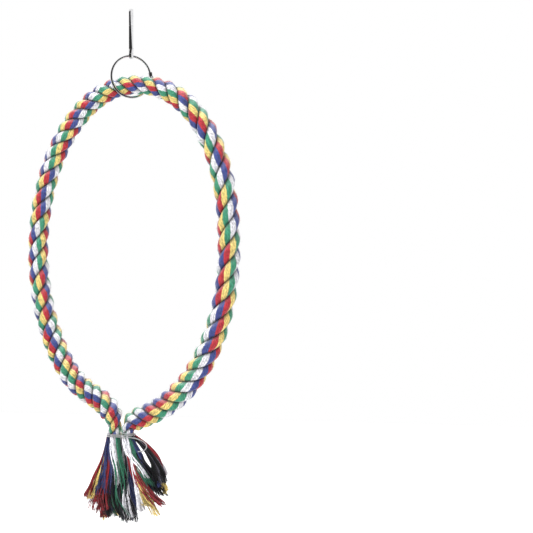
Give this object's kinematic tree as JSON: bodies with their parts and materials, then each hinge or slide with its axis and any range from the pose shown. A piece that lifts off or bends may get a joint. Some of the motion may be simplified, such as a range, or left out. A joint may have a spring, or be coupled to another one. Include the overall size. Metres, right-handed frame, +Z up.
{
  "type": "bird swing",
  "caption": "Hanging bird perch: a loop of laid multicolour cotton rope, wire-tied into a frayed tassel, on a hinged steel ring and a gourd-shaped snap hook.",
  "frame": {"origin": "centre of the snap hook's top inside bend, where a cage bar sits", "axes": "+Z up, +X along the width of the rope loop to the right as seen from the front, -Y towards the front"},
  "size_m": [0.2044, 0.0343, 0.4681],
  "materials": {
    "hook_steel": "bright",
    "ring_steel": "bright",
    "tie_steel": "satin",
    "rope_cotton": "matte",
    "yarn_red": "matte",
    "yarn_blue": "matte",
    "yarn_white": "matte",
    "yarn_green": "matte",
    "yarn_yellow": "matte",
    "yarn_black": "matte"
  },
  "bodies": {
    "hook": {"hook_body": "hook_steel"},
    "gate": {"hook_gate": "hook_steel"},
    "ring": {"ring_upper_half": "ring_steel", "ring_rivet": "ring_steel"},
    "ring_lower": {"ring_lower_half": "ring_steel"},
    "rope": {"rope_strand_a": "rope_cotton", "rope_strand_b": "rope_cotton", "rope_strand_c": "rope_cotton", "tie_wire": "tie_steel", "left_tail_red": "yarn_red", "left_tail_blue": "yarn_blue", "left_tail_white": "yarn_white", "left_tail_green": "yarn_green", "left_tail_yellow": "yarn_yellow", "left_tail_black": "yarn_black", "right_tail_red": "yarn_red", "right_tail_blue": "yarn_blue", "right_tail_white": "yarn_white", "right_tail_green": "yarn_green", "right_tail_yellow": "yarn_yellow", "right_tail_black": "yarn_black"}
  },
  "joints": [
    {"name": "gate_hinge", "type": "hinge", "parent": "hook", "child": "gate", "pos_m": [0.00041, -0.00102, -0.0309], "axis": [-0.9272, -0.3746, 0], "range_deg": [0, 12], "stiffness_Nm_per_rad": 0.1},
    {"name": "ring_swing", "type": "hinge", "parent": "hook", "child": "ring", "pos_m": [0, 0, -0.03762], "axis": [0.7431, 0.6691, 0], "range_deg": [-35, 35]},
    {"name": "ring_hinge", "type": "hinge", "parent": "ring", "child": "ring_lower", "pos_m": [0.01398, 0.01259, -0.05644], "axis": [0.6691, -0.7431, 0], "range_deg": [0, 75]},
    {"name": "rope_swing", "type": "hinge", "parent": "ring", "child": "rope", "pos_m": [0, 0, -0.06394], "axis": [1, 0, 0], "range_deg": [-30, 30]}
  ]
}
